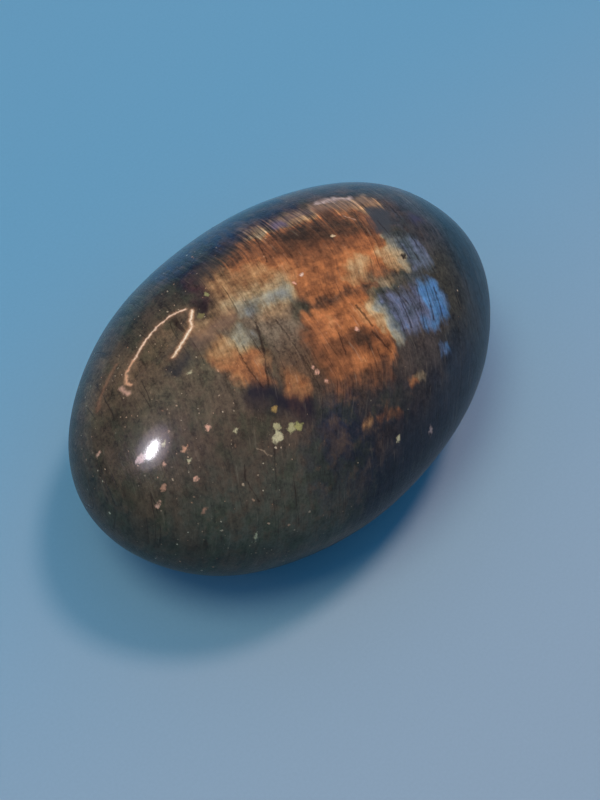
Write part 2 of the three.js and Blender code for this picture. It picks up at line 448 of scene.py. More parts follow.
class Graph:
    """A node tree that nodes are added to."""

    def __init__(self, tree):
        self.tree = tree

    def node(self, kind, settings=None, inputs=(), output=0):
        """Adds a node and returns one of its outputs. A ramp's stops are a setting named stops."""
        made = self.tree.nodes.new(kind)
        for name, value in (settings or {}).items():
            if name == "stops":
                self.set_stops(made.color_ramp, value)
            else:
                setattr(made, name, value)
        pairs = inputs.items() if isinstance(inputs, dict) else enumerate(inputs)
        for key, value in pairs:
            if isinstance(value, Wire):
                self.tree.links.new(value.socket, made.inputs[key])
            else:
                made.inputs[key].default_value = tuple(value) if isinstance(value, Vector) else value
        return Wire(self, made.outputs[output])

    def set_stops(self, ramp, stops):
        while len(ramp.elements) < len(stops):
            ramp.elements.new(1.0)
        for element, (place, colour) in zip(ramp.elements, stops):
            element.position = place
            element.color = (*colour, 1.0)

    def combine(self, x, y, z):
        return self.node("ShaderNodeCombineXYZ", None, (x, y, z))

    def mix(self, amount, first, second, kind="FLOAT", blend="MIX"):
        """A value between two values of a kind."""
        first_socket, second_socket, output = MIX_SOCKETS[kind]
        settings = {"data_type": kind, "blend_type": blend}
        inputs = {0: amount, first_socket: first, second_socket: second}
        return self.node("ShaderNodeMix", settings, inputs, output)

    def mix_colour(self, amount, first, second, blend="MIX"):
        return self.mix(amount, opaque(first), opaque(second), "RGBA", blend)

    def shared(self, group, inputs, output):
        """One use of a shared group."""
        return self.node("ShaderNodeGroup", {"node_tree": group.tree}, inputs, output)

    def stretched(self, vector, factor):
        """A vector times a number, where either may be a wire."""
        return self.node("ShaderNodeVectorMath", {"operation": "SCALE"}, {"Vector": vector, "Scale": factor})

    def shaded(self, colour, shade):
        """A colour made darker or lighter by a number."""
        shade = shade.maths("MAXIMUM", DARKEST_SHADE)
        return self.mix_colour(1.0, colour, self.combine(shade, shade, shade), "MULTIPLY")

    def noise(self, place, grain, output="Fac"):
        inputs = {"Vector": place, "Scale": 1.0, "Detail": grain.detail, "Roughness": grain.roughness}
        return self.node("ShaderNodeTexNoise", None, inputs, output)


def opaque(colour):
    """A colour with its alpha, or a wire as it is."""
    return colour if isinstance(colour, Wire) else (*colour, 1.0)


def total(wires):
    """The sum of wires."""
    first, *others = wires
    return sum(others, first)


def new_material(name, make_shader):
    """A material with the shader that a function makes on its graph."""
    material = bpy.data.materials.new(name)
    material.use_nodes = True
    tree = material.node_tree
    tree.nodes.clear()
    shader = make_shader(Graph(tree))
    output = tree.nodes.new("ShaderNodeOutputMaterial")
    tree.links.new(shader.socket, output.inputs["Surface"])
    return material


# The stone's surface as Geometry Nodes


def bow(wire):
    """Bends a coordinate of the unit sphere towards a superellipsoid."""
    return wire.maths("SIGN") * abs(wire) ** (2 / FULLNESS)


def leaf_mask(x, y):
    """1 inside the leaf-shaped hollow, 0 outside it, with a slope at the rim."""
    span = (HOLLOW_TAIL - HOLLOW_TIP).length
    along = (HOLLOW_TAIL - HOLLOW_TIP) / span
    outward = Vector((along.y, -along.x))
    from_tip_x = x - HOLLOW_TIP.x
    from_tip_y = y - HOLLOW_TIP.y
    share = (from_tip_x * along.x + from_tip_y * along.y) / span
    offset = from_tip_x * outward.x + from_tip_y * outward.y
    # The swell is 1 halfway between tip and tail, and 0 at both
    swell = (share * (1 - share)).maths("MAXIMUM", 0.0) * 4
    to_outer = swell * HOLLOW_OUTER_BULGE - offset
    to_inner = swell * HOLLOW_INNER_BULGE + offset
    return to_outer.maths("MINIMUM", to_inner).step(0.0, HOLLOW_SLOPE)


def surface_tree():
    """A closed stone surface from a cube's grid, in the frame of the stone's widest level."""
    tree = bpy.data.node_groups.new("stone surface", "GeometryNodeTree")
    face = tree.interface
    face.new_socket("Geometry", in_out="OUTPUT", socket_type="NodeSocketGeometry")
    for name in ("Length", "Width", "Dome", "Keel", "Flat depth", "Taper", "Lean", "Hollow depth"):
        face.new_socket(name, in_out="INPUT", socket_type="NodeSocketFloat")
    face.new_socket("Points per edge", in_out="INPUT", socket_type="NodeSocketInt")
    face.new_socket("Material", in_out="INPUT", socket_type="NodeSocketMaterial")
    graph = Graph(tree)
    given = tree.nodes.new("NodeGroupInput")
    size = {socket.name: Wire(graph, socket) for socket in given.outputs}

    points = size["Points per edge"]
    cube = graph.node(
        "GeometryNodeMeshCube",
        None,
        {"Size": (2, 2, 2), "Vertices X": points, "Vertices Y": points, "Vertices Z": points},
    )
    place = graph.node("GeometryNodeInputPosition")
    # Tangents of even angles spread the cube's grid evenly over the sphere
    even = graph.combine(*((part * (math.pi / 4)).maths("TANGENT") for part in place.parts()))
    unit_x, unit_y, unit_z = even.vector("NORMALIZE").parts()

    x = bow(unit_x)
    y = bow(unit_y) * (x * size["Taper"] + 1) + x * x * size["Lean"]
    z = bow(unit_z)
    half_height = graph.mix(z.maths("GREATER_THAN", 0.0), size["Keel"], size["Dome"])
    x = x * size["Length"] / 2
    y = y * size["Width"] / 2
    z = z * half_height

    point = graph.combine(x, y, z)
    waves = total(
        (point.dot(across) * (2 * math.pi / length) + phase).maths("SINE") * height
        for across, length, height, phase in GRINDING_WAVES
    )
    lift = waves - leaf_mask(x, y) * z.maths("GREATER_THAN", 0.0) * size["Hollow depth"]
    x = x + unit_x * lift
    y = y + unit_y * lift
    z = z + unit_z * lift
    floor = size["Flat depth"] - size["Keel"]
    z = z.maths("SMOOTH_MAX", floor, FLAT_EDGE)

    moved = graph.node(
        "GeometryNodeSetPosition", None, {"Geometry": cube, "Position": graph.combine(x, y, z)}
    )
    smooth = graph.node("GeometryNodeSetShadeSmooth", None, {"Geometry": moved})
    real = graph.node("GeometryNodeRealizeInstances", None, {"Geometry": smooth})
    finished = graph.node(
        "GeometryNodeSetMaterial", None, {"Geometry": real, "Material": size["Material"]}
    )
    result = tree.nodes.new("NodeGroupOutput")
    tree.links.new(finished.socket, result.inputs[0])
    return tree


def stone_mesh(shape, material):
    """Runs the surface tree with the user's sizes and returns its result as a plain mesh."""
    tree = surface_tree()
    host = bpy.data.objects.new("stone maker", bpy.data.meshes.new("empty"))
    bpy.context.scene.collection.objects.link(host)
    modifier = host.modifiers.new("surface", "NODES")
    modifier.node_group = tree
    values = {
        "Length": shape.length,
        "Width": shape.width,
        "Dome": shape.dome,
        "Keel": shape.keel,
        "Flat depth": shape.flat_depth,
        "Taper": shape.taper,
        "Lean": shape.lean,
        "Hollow depth": shape.hollow_depth,
        "Points per edge": shape.points_per_edge,
        "Material": material,
    }
    for item in tree.interface.items_tree:
        if item.in_out == "INPUT":
            modifier[item.identifier] = values[item.name]
    bpy.context.view_layer.update()
    evaluated = host.evaluated_get(bpy.context.evaluated_depsgraph_get())
    mesh = bpy.data.meshes.new_from_object(evaluated)
    host.modifiers.remove(modifier)
    bpy.data.objects.remove(host)
    bpy.data.node_groups.remove(tree)
    return mesh


def fit_to_box(mesh, low, high):
    """Places the mesh in a box, which was measured on facets that a fine surface bulges a little past."""
    places = [vertex.co for vertex in mesh.vertices]
    least = Vector(min(place[i] for place in places) for i in range(3))
    most = Vector(max(place[i] for place in places) for i in range(3))
    scale = Matrix.Diagonal([(high[i] - low[i]) / (most[i] - least[i]) for i in range(3)]).to_4x4()
    mesh.transform(Matrix.Translation(low) @ scale @ Matrix.Translation(-least))


# The stone's material

# Noises, with their features per millimetre across the twin planes and along them
Grain = namedtuple("Grain", "across along detail roughness seed", defaults=(2.0, 0.5, 0.0))
NOISE_MIDDLE = 0.5
SWAY_WAVES = Grain(0.06, 0.06, 1.0)
SWAY_RIPPLES = Grain(0.5, 0.25)
WANDER = Grain(0.4, 0.3, roughness=0.6)
JITTER = Grain(1.7, 1.3, roughness=0.6)
MOTTLE = Grain(0.85, 0.6, 6.0, 0.62)
GRIT = Grain(3.0, 2.1, 4.0, 0.7)
BROWN_SHARE = Grain(0.07, 0.07, 3.0)
PATCHES = Grain(0.32, 0.2, 4.0, 0.6)
FRECKLES = Grain(0.9, 0.6, 4.0, 0.6)
BLOTCHES = Grain(0.45, 0.3, 3.0)
BARS = Grain(0.14, 1.3, 3.0)
CROWDING = Grain(0.12, 0.12)
SPECK_BENDS = Grain(2.2, 2.2)
CRACK_BREAKS = Grain(0.3, 0.14, 3.0)

# Noises drawn out along the twin planes
COMB = Grain(1.6, 0.03)
BANDS = Grain(0.75, 0.03, 4.0, 0.65, 7.0)
LINES = Grain(2.6, 0.09, 3.0, 0.7, 31.0)
DASHES = Grain(3.0, 0.20, seed=57.0)
GLINTS = Grain(3.2, 0.24, seed=83.0)
CRACK_SHEETS = Grain(0.62, 0.022, 1.5, seed=53.0)

# How far noise moves the twin planes and the marks, in millimetres
SWAY_REACH = 3
RIPPLE_REACH = 0.5
COMB_REACH = 1.4
PATCH_WANDER = 3.0
LINE_JITTER = 0.5
FLECK_JITTER = 1.1

# The middle of the orange block, and how strongly the twin planes turn in it
BLOCK_ACROSS = 0.5
BLOCK_ALONG = 8.0
BLOCK_TURN = 0.22

# The middle and half width of the streaked upper edge of the band across the upper part
UPPER_EDGE_ALONG = -13.8
UPPER_EDGE_HALF_WIDTH = 3.0

# How much the edge of the dark lower right leans: 0 would run along the twin planes, and 1 at 45 degrees
LOWER_RIGHT_LEAN = 0.6

# Where masks rise from 0 to 1, or fall from 1 to 0: in millimetres for places, in shares of the range for
# noises, and in cells for specks
TOP_RISE = (-3.0, 0.0)
BLOCK_ACROSS_FALL = (4.0, 14.0)
BLOCK_ALONG_FALL = (4.0, 12.0)
LOWER_RIGHT_RISE = (8.0, 20.0)
LOWER_RISE = (8.0, 22.0)
LEFT_RISE = (0.0, 24.0)
UPPER_STREAKS_RISE = (5.0, 13.0)
RIGHT_STREAKS_RISE = (5.0, 9.0)
UPPER_COMB_RISE = (6.0, 12.0)
UPPER_EDGE_RISE = (0.0, 1.6)
COAT_RISE = (3.0, 15.0)
CRACK_SHEET_FALL = (0.002, 0.014)
CRACK_RISE = (-0.12, 0.08)
FLECK_RISE = (-0.20, 0.14)
SPECK_RISE = (0.0, 0.10)
BROWN_SHARE_RISE = (0.38, 0.62)
PATCH_RISE = (0.48, 0.64)
FRECKLE_RISE = (0.50, 0.66)
CROWDING_RISE = (0.35, 0.65)
CRACK_BREAK_RISE = (0.50, 0.62)
DASH_RISE = (0.60, 0.72)
GLINT_RISE = (0.62, 0.74)

# Amounts where a mask is 0 and where it is 1
LOWER_RIGHT_PATCHES = (1.0, 0.12)
LOWER_CONTRAST = (1.2, 0.8)
COMBED_LINES = (0.3, 2.3)
DASH_COVER = (0.10, 0.50)
GLINT_COVER = (0.05, 0.15)
SPECK_COVER = (0.2, 1.0)
ROUGHNESS = (0.34, 0.30)
COAT_WEIGHT = (0.15, 1.0)

# How much each layer covers of what lies below it
BROWN_COVER = 0.45
GREEN_COVER = 0.50
CRACK_SHEET_COVER = 0.6
CRACK_COVER = 0.70
ALL_SPECKS_COVER = 0.8

# How much lines show: in all flashes, more in their upper part, and at the streaked upper edge
STREAKS = 0.8
UPPER_STREAKS = 2.4
EDGE_STREAKS = 2.4

# How much the noises change the hue and the shade of the flashes, and their shade without noise
BAND_HUE = 0.08
MOTTLE_HUE = 0.12
BLOTCH_HUE = 0.16
BLOTCH_SHADE = 0.8
FLASH_SHADE = 1.08

# Keeps the hue finite where nothing flashes
LEAST_STRENGTH = 0.001

# The half width of the cracks, and how much noise changes it and that of the strokes, in millimetres
CRACK_HALF_WIDTH = 0.08
CRACK_WIDTH_NOISE = 0.5
STROKE_WIDTH_NOISE = 0.3

# Specks in two sizes of cell, with their cells per millimetre across and along, and a shift
SPECK_CELLS = ((1.05, 0.80, 0.0), (1.9, 1.5, 40.0))
SPECK_BEND = 0.5
SPECK_GROWTH = 1.3
LARGEST_SPECK = 0.24

# How crowded the specks are: everywhere, more in some parts and on the left, and how many cells that fills
CROWD = 0.15
CROWD_IN_PARTS = 0.4
CROWD_ON_LEFT = 0.5
CROWDED_CELLS = 0.30

# The bump of the lamellae, in metres, and how deep cracks are in it
RELIEF_DEPTH = 0.0004
CRACK_DEPTH = 0.3

# Farther than any mark reaches, in millimetres
FAR = 100.0


class SharedGroup:
    """A shader node group that many marks share, with a wire for each of its inputs."""

    def __init__(self, name, vectors, numbers, colours=()):
        self.tree = bpy.data.node_groups.new(name, "ShaderNodeTree")
        kinds = {"NodeSocketVector": vectors, "NodeSocketFloat": numbers, "NodeSocketColor": colours}
        for kind, names in kinds.items():
            for socket_name in names:
                self.tree.interface.new_socket(socket_name, in_out="INPUT", socket_type=kind)
        graph = Graph(self.tree)
        given = self.tree.nodes.new("NodeGroupInput")
        self.given = {socket.name: Wire(graph, socket) for socket in given.outputs if socket.name}

    def gives(self, kind, **wires):
        """Sets the outputs of the group, all of one kind."""
        for name in wires:
            self.tree.interface.new_socket(name, in_out="OUTPUT", socket_type=kind)
        result = self.tree.nodes.new("NodeGroupOutput")
        for name, wire in wires.items():
            self.tree.links.new(wire.socket, result.inputs[name])
        return self


PATCH_VECTORS = ("Place", "Centre", "Across axis", "Along axis", "Core")
PATCH_NUMBERS = ("Outer", "Inner")


def patch_mask(given):
    """1 inside a rounded patch and 0 outside it."""
    place = given["Place"]
    turned = place.graph.combine(place.dot(given["Across axis"]), place.dot(given["Along axis"]), 0)
    offset = turned.vector("SUBTRACT", given["Centre"])
    beyond = offset.vector("ABSOLUTE").vector("SUBTRACT", given["Core"])
    reach = beyond.vector("MAXIMUM", (0, 0, 0)).vector("LENGTH", output="Value")
    return reach.step(given["Outer"], given["Inner"])


def flash_group():
    """Lays one flash over the flashes so far."""
    group = SharedGroup("flash", (*PATCH_VECTORS, "Flash", "Own flash"), PATCH_NUMBERS)
    given = group.given
    mask = patch_mask(given)
    flash = mask.graph.mix(mask, given["Flash"], given["Own flash"], "VECTOR")
    return group.gives("NodeSocketVector", Flash=flash)


def tint_group():
    """Lays one tint over a colour. Most tints are the stone's own colours; some are painted light, shade and
    reflection.
    """
    group = SharedGroup("tint", PATCH_VECTORS, (*PATCH_NUMBERS, "Strength"), ("Colour", "Own colour"))
    given = group.given
    amount = patch_mask(given) * given["Strength"]
    colour = amount.graph.mix_colour(amount, given["Colour"], given["Own colour"])
    return group.gives("NodeSocketColor", Colour=colour)


def line_group():
    """The distance from a line, where it is less than the nearest so far."""
    group = SharedGroup("line", ("Place", "Start", "Reach", "Share axis"), ("Nearest",))
    given = group.given
    offset = given["Place"].vector("SUBTRACT", given["Start"])
    share = offset.dot(given["Share axis"]).clamped()
    gap = offset.vector("DISTANCE", share.graph.stretched(given["Reach"], share), output="Value")
    return group.gives("NodeSocketFloat", Nearest=gap.maths("MINIMUM", given["Nearest"]))


def fleck_group():
    """Lays one fleck over a colour. Most flecks are mineral grains; one is a painted highlight."""
    group = SharedGroup("fleck", ("Place", "Centre"), ("Radius", "Sparkle"), ("Colour", "Own colour"))
    given = group.given
    within = given["Radius"] - given["Place"].vector("DISTANCE", given["Centre"], output="Value")
    found = within.step(*FLECK_RISE) * given["Sparkle"]
    colour = found.graph.mix_colour(found, given["Colour"], given["Own colour"])
    return group.gives("NodeSocketColor", Colour=colour)


class Stonework:
    """The places and noises that every mark of the stone is made from, in millimetres."""

    def __init__(self, graph):
        self.graph = graph
        self.flash_group = flash_group()
        self.tint_group = tint_group()
        self.line_group = line_group()
        self.fleck_group = fleck_group()
        coordinates = graph.node("ShaderNodeTexCoord", None, (), "Object")
        place = coordinates.vector("SUBTRACT", (0, 0, WIDEST_LEVEL)).scaled(1 / MM)
        self.across = place.dot(ACROSS)
        self.along = place.dot(ALONG)
        self.up = place.dot(UP)
        self.height = place.dot(Z_AXIS)
        self.top = self.up.step(*TOP_RISE)

        self.plane = self.across + self.sway()
        comb = (self.lamellae(COMB) - NOISE_MIDDLE) * COMB_REACH
        level = graph.combine(self.across, self.along, 0)
        ragged = graph.combine(self.across, self.along + comb, 0)
        jitter = self.drift(JITTER)
        self.patch_place = ragged.vector("ADD", self.drift(WANDER).scaled(PATCH_WANDER))
        self.line_place = level.vector("ADD", jitter.scaled(LINE_JITTER))
        self.fleck_place = level.vector("ADD", jitter.scaled(FLECK_JITTER))
        self.bands = self.lamellae(BANDS) - NOISE_MIDDLE
        self.lines = self.lamellae(LINES) - NOISE_MIDDLE
        self.mottle = self.noise(MOTTLE) - NOISE_MIDDLE
        self.grit = self.noise(GRIT) - NOISE_MIDDLE

    def at(self, across, along, up):
        """The place as a noise coordinate, with its own number of features per millimetre each way."""
        return self.graph.combine(self.across * across, self.along * along, self.up * up)

    def noise(self, grain, output="Fac"):
        return self.graph.noise(self.at(grain.across, grain.along, grain.along), grain, output)

    def drift(self, grain):
        """Noise as a vector that swings about zero."""
        return self.noise(grain, "Color").vector("SUBTRACT", (NOISE_MIDDLE,) * 3)

    def lamellae(self, grain):
        """Noise drawn out along the twin planes."""
        across = self.plane * grain.across + grain.seed
        place = self.graph.combine(across, self.along * grain.along, self.up * grain.along)
        return self.graph.noise(place, grain)

    def texture(self, **weights):
        """The sum of bands, lines, mottle and grit, each times its weight."""
        return total(getattr(self, name) * weight for name, weight in weights.items())

    def gritty(self, contrast, level):
        """A level on the top of the stone, broken up by grit."""
        return (self.grit * contrast + level).clamped() * self.top

    def sway(self):
        """How far the twin planes stray from flat: slow waves, ripples, and a turn in the orange block."""
        waves = (self.noise(SWAY_WAVES) - NOISE_MIDDLE) * SWAY_REACH
        ripples = (self.noise(SWAY_RIPPLES) - NOISE_MIDDLE) * RIPPLE_REACH
        aside = self.across - BLOCK_ACROSS
        ahead = self.along - BLOCK_ALONG
        near_block = (1 - abs(aside).step(*BLOCK_ACROSS_FALL)) * (1 - abs(ahead).step(*BLOCK_ALONG_FALL))
        return waves + ripples - ahead * near_block * BLOCK_TURN

    def patch(self, mark):
        """The inputs that place a patch."""
        turn = math.radians(mark.turn)
        across_axis = Vector((math.cos(turn), math.sin(turn), 0))
        along_axis = Vector((-math.sin(turn), math.cos(turn), 0)) * ALONG_SHARPNESS
        centre = Vector((mark.across, mark.along, 0))
        half_along = mark.half_along * ALONG_SHARPNESS
        rounding = mark.corner * min(mark.half_across, half_along)
        return {
            "Place": self.patch_place,
            "Across axis": across_axis,
            "Along axis": along_axis,
            "Centre": (centre.dot(across_axis), centre.dot(along_axis), 0),
            "Core": (mark.half_across - rounding, half_along - rounding, 0),
            "Outer": rounding + mark.soft,
            "Inner": rounding - mark.soft,
        }

    def flashes(self, flashes):
        """The flashes laid over each other, as a vector of hue times strength, and strength."""
        so_far = (0, 0, 0)
        for flash in flashes:
            own = {"Flash": so_far, "Own flash": (flash.hue * flash.strength, flash.strength, 0)}
            so_far = self.graph.shared(self.flash_group, {**self.patch(flash), **own}, "Flash")
        return so_far

    def tinted(self, colour, tint):
        """Lays one tint over a colour. Most tints are the stone's own colours; some are painted light, shade
        and reflection.
        """
        own = {"Strength": tint.strength, "Colour": opaque(colour), "Own colour": opaque(tint.colour)}
        return self.graph.shared(self.tint_group, {**self.patch(tint), **own}, "Colour")

    def line(self, points, nearest=FAR):
        """How far the place lies from a line through points, if less than nearest."""
        for start, end in zip(points, points[1:]):
            first = Vector((*start, 0))
            reach = Vector((*end, 0)) - first
            inputs = {
                "Place": self.line_place,
                "Start": first,
                "Reach": reach,
                "Share axis": reach / reach.length_squared,
                "Nearest": nearest,
            }
            nearest = self.graph.shared(self.line_group, inputs, "Nearest")
        return nearest

    def flecked(self, colour, fleck, sparkle):
        """Lays one fleck over a colour, as strong as sparkle. Most flecks are mineral grains; one is a
        painted highlight.
        """
        inputs = {
            "Place": self.fleck_place,
            "Centre": (fleck.across, fleck.along, 0),
            "Radius": fleck.radius,
            "Sparkle": sparkle,
            "Colour": colour,
            "Own colour": opaque(fleck.colour),
        }
        return self.graph.shared(self.fleck_group, inputs, "Colour")


def body_colour(work, finish):
    """The stone between the flashes: olive and brown, with darker and lighter mottling. Its tints on the top
    also paint light: lighter on the left, painted shade on the lower right, the right flank and the far rim,
    and a painted blue reflection along the upper-left rim.
    """
    graph = work.graph
    brown_share = work.noise(BROWN_SHARE).step(*BROWN_SHARE_RISE)
    plain = graph.mix_colour(brown_share, finish.body_olive, finish.body_brown)
    body = plain
    for tint in BODY_TINTS_AND_PAINTED_LIGHT:
        body = work.tinted(body, tint)
    body = graph.mix_colour(work.top, plain, body)

    # Patches and freckles, few of them on the top's lower right
    lower_right = (work.across + work.along * LOWER_RIGHT_LEAN).step(*LOWER_RIGHT_RISE)
    patched = (lower_right * work.top).between(*LOWER_RIGHT_PATCHES)
    patchy = work.noise(PATCHES)
    layers = (
        (patchy.step(*PATCH_RISE) * patched * BROWN_COVER, finish.body_brown),
        ((1 - patchy).step(*PATCH_RISE) * patched * GREEN_COVER, finish.body_green),
        (work.noise(FRECKLES).step(*FRECKLE_RISE) * patched * BROWN_COVER, finish.body_brown),
    )
    for amount, colour in layers:
        body = graph.mix_colour(amount, body, colour)
    contrast = work.along.step(*LOWER_RISE).between(*LOWER_CONTRAST)
    return graph.shaded(body, work.texture(grit=1.7, mottle=1.8, lines=0.6, bands=0.9) * contrast + 1)


def flash_layers(work):
    """Where the stone flashes, as the hue and the strength of the flash."""
    top = work.flashes(TOP_FLASHES)
    under = work.flashes(UNDER_FLASHES)
    both = work.graph.mix(work.top, under, top, "VECTOR")
    strength = both.dot(Y_AXIS)
    return both.dot(X_AXIS) / (strength + LEAST_STRENGTH), strength


def flash_colour(work, hue):
    """The colour of the flashes, streaked along the twin planes."""
    graph = work.graph
    blotches = work.noise(BLOTCHES) - NOISE_MIDDLE
    bars = work.noise(BARS) - NOISE_MIDDLE
    hue = hue + work.bands * BAND_HUE + work.mottle * MOTTLE_HUE + blotches * BLOTCH_HUE
    colour = graph.node("ShaderNodeValToRGB", {"stops": FLASH_RAMP}, (hue,))
    upper_streaks = (-work.along).step(*UPPER_STREAKS_RISE) * UPPER_STREAKS
    streaks = upper_streaks + work.across.step(*RIGHT_STREAKS_RISE) + STREAKS
    shade = work.texture(lines=streaks, bands=0.7, mottle=0.8, grit=1.4)
    return graph.shaded(colour, shade + blotches * BLOTCH_SHADE + bars + FLASH_SHADE)


def speck_cells(work, crowd, bend, across, along, shift):
    """Specks of one size, and three random numbers for each cell, as a colour."""
    place = work.at(across, along, across).vector("ADD", bend).vector("ADD", (shift, 0, 0))
    cells = {"Vector": place, "Scale": 1.0, "Randomness": 1.0}
    reach = work.graph.node("ShaderNodeTexVoronoi", None, cells, "Distance")
    chance = reach.sibling("Color")
    empty = 1 - crowd * CROWDED_CELLS
    size = (chance.dot(X_AXIS) - empty).maths("MAXIMUM", 0.0) * SPECK_GROWTH
    found = (size.maths("MINIMUM", LARGEST_SPECK) - reach).step(*SPECK_RISE)
    return found * chance.dot(Z_AXIS).between(*SPECK_COVER), chance


def speck_field(work):
    """Small chips and grains scattered through the stone: where they are, and how pale each one is."""
    left = (-work.across).step(*LEFT_RISE)
    parts = work.noise(CROWDING).step(*CROWDING_RISE)
    crowd = parts * CROWD_IN_PARTS + left * CROWD_ON_LEFT + CROWD
    bend = work.noise(SPECK_BENDS, "Color").scaled(SPECK_BEND)
    (coarse, chance), (fine, _) = (speck_cells(work, crowd, bend, *cells) for cells in SPECK_CELLS)
    return coarse.maths("MAXIMUM", fine), chance.dot(Y_AXIS)


def flashing_colour(work, finish):
    """The stone's colour with its flashes, and how strongly it flashes."""
    hue, strength = flash_layers(work)
    # The flashes break up where they are half strong, and more so towards the upper edge of the stone
    edge = strength * (1 - strength) * 4
    combed = (-work.along).step(*UPPER_COMB_RISE).between(*COMBED_LINES)
    glow = (strength + edge * work.texture(bands=0.6, mottle=1.0, lines=combed)).clamped()
    return work.graph.mix_colour(glow, body_colour(work, finish), flash_colour(work, hue)), glow


def veiled_with_painted_sheen(work, colour):
    """Lays the veils over a colour on the top of the stone, with the painted reflection along its upper edge.
    """
    bare = colour
    for veil in VEILS_AND_PAINTED_SHEEN:
        colour = work.tinted(colour, veil)
    return work.graph.mix_colour(work.top, bare, colour)


def streaked(work, colour, glow, finish):
    """Streaks a colour along the twin planes, with dark dashes and pale glints."""
    graph = work.graph
    off_edge = abs(work.along - UPPER_EDGE_ALONG)
    upper_edge = (UPPER_EDGE_HALF_WIDTH - off_edge).step(*UPPER_EDGE_RISE) * work.top
    colour = graph.shaded(colour, work.lines * upper_edge * EDGE_STREAKS + 1)
    dashes = work.lamellae(DASHES).step(*DASH_RISE) * glow.between(*DASH_COVER)
    colour = graph.mix_colour(dashes, colour, CRACK_COLOUR)
    glints = work.lamellae(GLINTS).step(*GLINT_RISE) * glow.between(*GLINT_COVER)
    return graph.mix_colour(glints, colour, finish.speck_cream)


def hairline_field(work):
    """Where hairline cracks run, on sheets along the twin planes."""
    off_sheet = abs(work.lamellae(CRACK_SHEETS) - NOISE_MIDDLE)
    return (1 - off_sheet.step(*CRACK_SHEET_FALL)) * work.noise(CRACK_BREAKS).step(*CRACK_BREAK_RISE)


def cracked(work, colour, hairlines):
    """Draws the hairlines over a colour, and the cracks that stand out."""
    colour = work.graph.mix_colour(hairlines * CRACK_SHEET_COVER, colour, CRACK_COLOUR)
    gap = FAR
    for points in CRACKS:
        gap = work.line(points, gap)
    cracks = (work.bands * CRACK_WIDTH_NOISE + CRACK_HALF_WIDTH - gap).step(*CRACK_RISE) * work.top
    return work.graph.mix_colour(cracks * CRACK_COVER, colour, CRACK_COLOUR)


def speckled(work, colour, finish):
    """Lays the specks, the strokes and the flecks over a colour, with the painted highlights along the
    fissure and the painted highlight spot among the flecks.
    """
    graph = work.graph
    specks, paleness = speck_field(work)
    speck_colour = graph.mix_colour(paleness, finish.speck_copper, finish.speck_cream)
    colour = graph.mix_colour(specks * ALL_SPECKS_COVER, colour, speck_colour)
    gleam = work.gritty(contrast=1.8, level=1.1)
    gaps = {points: work.line(points) for points in dict.fromkeys(stroke.points for stroke in STROKES_AND_PAINTED_HIGHLIGHTS)}
    for stroke in STROKES_AND_PAINTED_HIGHLIGHTS:
        within = work.mottle * STROKE_WIDTH_NOISE + stroke.half_width - gaps[stroke.points]
        near = within.step(-stroke.soft, stroke.soft)
        colour = graph.mix_colour(near * gleam * stroke.strength, colour, stroke.colour)
    sparkle = work.gritty(contrast=2.5, level=0.95)
    for fleck in FLECKS_AND_PAINTED_HIGHLIGHT:
        colour = work.flecked(colour, fleck, sparkle)
    return colour


def stone_shader(graph, finish):
    """Polished stone: its colour, a faint relief of the lamellae within, and a clear coat."""
    work = Stonework(graph)
    colour, glow = flashing_colour(work, finish)
    colour = streaked(work, veiled_with_painted_sheen(work, colour), glow, finish)
    hairlines = hairline_field(work)
    colour = speckled(work, cracked(work, colour, hairlines), finish)
    relief = work.texture(bands=0.3, lines=0.35, grit=0.5) - hairlines * CRACK_DEPTH
    bump = graph.node(
        "ShaderNodeBump",
        None,
        {"Strength": finish.inner_relief, "Distance": RELIEF_DEPTH, "Height": relief},
    )
    return graph.node(
        "ShaderNodeBsdfPrincipled",
        None,
        {
            "Base Color": colour,
            "Roughness": glow.between(*ROUGHNESS),
            "IOR": 1.45,
            "Specular IOR Level": 0.09,
            "Specular Tint": (0.90, 0.78, 1.0, 1.0),
            "Coat Weight": work.height.step(*COAT_RISE).between(*COAT_WEIGHT),
            "Coat Roughness": finish.polish_roughness,
            "Coat IOR": 1.36,
            "Normal": bump,
        },
    )


# The stage

# The camera looks down at the stone from its near left, as the photograph does
CAMERA_TURN = math.radians(46.05)
CAMERA_RISE = math.radians(60)
CAMERA_DISTANCE = 0.2026
CAMERA_RIGHT = 0.00169
CAMERA_UP = -0.00424
LENS_MM = 60
SENSOR_MM = 36

# The cloth's speckles per metre and their contrast, where its colour shifts from painted shade to painted
# light, in metres, and which way
CLOTH_SPECKLES = 2200.0
CLOTH_CONTRAST = 0.08
FLOOR_RISE = (-0.06, 0.06)
FLOOR_SHIFT_RIGHT = 0.5
FLOOR_SHIFT_DOWN = 0.8

# The room turns from the colour of its walls to that of its ceiling between these heights of a direction
ROOM_RISE = (0.0, 0.6)

# A lamp's last two values say whether it lights surfaces, and whether it shows as a highlight.
Lamp = namedtuple("Lamp", "name direction distance size_x size_y roll power colour diffuse glossy")
LAMPS = (
    Lamp("soft box", (0.42, 0.0, 0.908), 1.1, 0.20, 0.20, 0, 6.7, (1.0, 0.55, 0.42), True, False),
    Lamp("overhead box", (-0.20, 0.10, 0.97), 1.1, 0.46, 0.46, 0, 4.2, (1.0, 0.94, 0.70), True, False),
    Lamp("ceiling", (0.0, 0.0, 1.0), 1.2, 3.0, 3.0, 0, 8.8, (0.14, 0.66, 1.0), True, False),
    Lamp("small lamp", (-0.689, 0.291, 0.664), 0.55, 0.042, 0.098, 32, 1.45, (0.95, 0.93, 1.0), False, True),
    Lamp("lamp glow", (-0.689, 0.291, 0.664), 0.56, 0.17, 0.24, 32, 0.42, (0.95, 0.80, 1.0), False, True),
)


